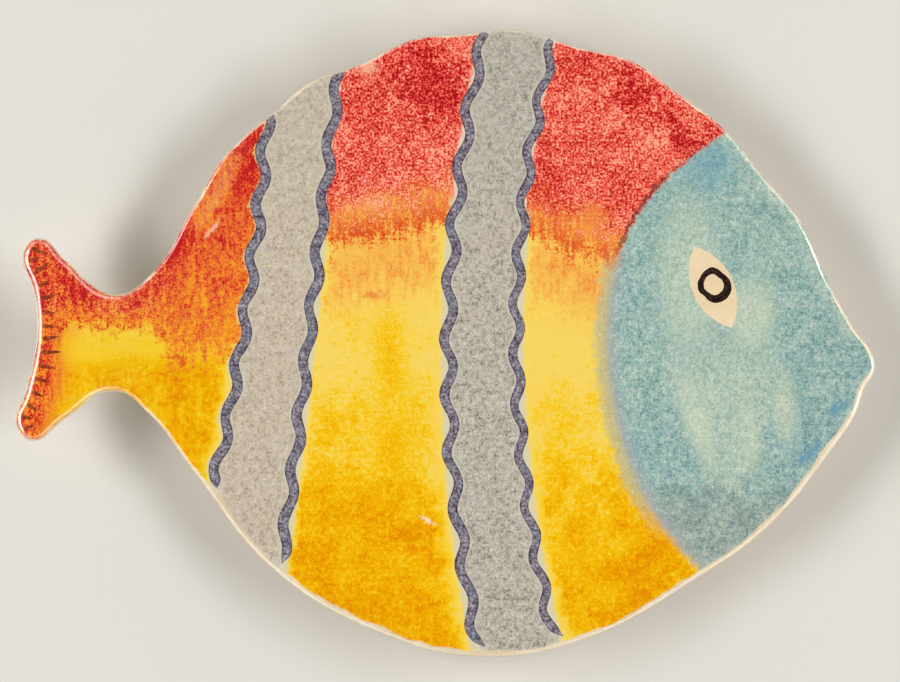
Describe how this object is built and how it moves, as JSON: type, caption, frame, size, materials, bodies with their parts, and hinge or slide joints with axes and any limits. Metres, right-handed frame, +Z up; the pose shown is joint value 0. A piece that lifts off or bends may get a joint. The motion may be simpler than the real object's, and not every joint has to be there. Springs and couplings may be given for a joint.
{
  "type": "salad plate",
  "caption": "Fish-shaped salad plate in glazed earthenware, with a shallow dished well, a rounded lip, an upturned tail, a bare foot ring and painted stripes, head and eye.",
  "frame": {"origin": "under the middle of the plate's outline, on the surface that the foot ring stands on", "axes": "+X from the tail to the mouth, +Y from the belly to the back, +Z up out of the face"},
  "size_m": [0.276, 0.2017, 0.0278],
  "materials": {
    "biscuit": "bare fired clay, matt",
    "cream_glaze": "gloss glaze",
    "tail_red_glaze": "sponged gloss glaze",
    "grey_glaze": "sponged gloss glaze",
    "sun_glaze": "sponged gloss glaze",
    "turquoise_glaze": "sponged gloss glaze",
    "violet_line": "brushed gloss glaze",
    "black_line": "brushed gloss glaze"
  },
  "bodies": {
    "root": {"clay_body": "biscuit", "rim_glaze": "cream_glaze", "back_glaze": "cream_glaze", "foot_recess_glaze": "cream_glaze", "tail_glaze": "tail_red_glaze", "rear_stripe_glaze": "grey_glaze", "middle_glaze": "sun_glaze", "front_stripe_glaze": "grey_glaze", "shoulder_glaze": "sun_glaze", "head_glaze": "turquoise_glaze", "rear_stripe_tail_line": "violet_line", "rear_stripe_head_line": "violet_line", "front_stripe_tail_line": "violet_line", "front_stripe_head_line": "violet_line", "eye_white": "cream_glaze", "eye_ring": "black_line", "eye_centre": "cream_glaze"}
  },
  "joints": []
}
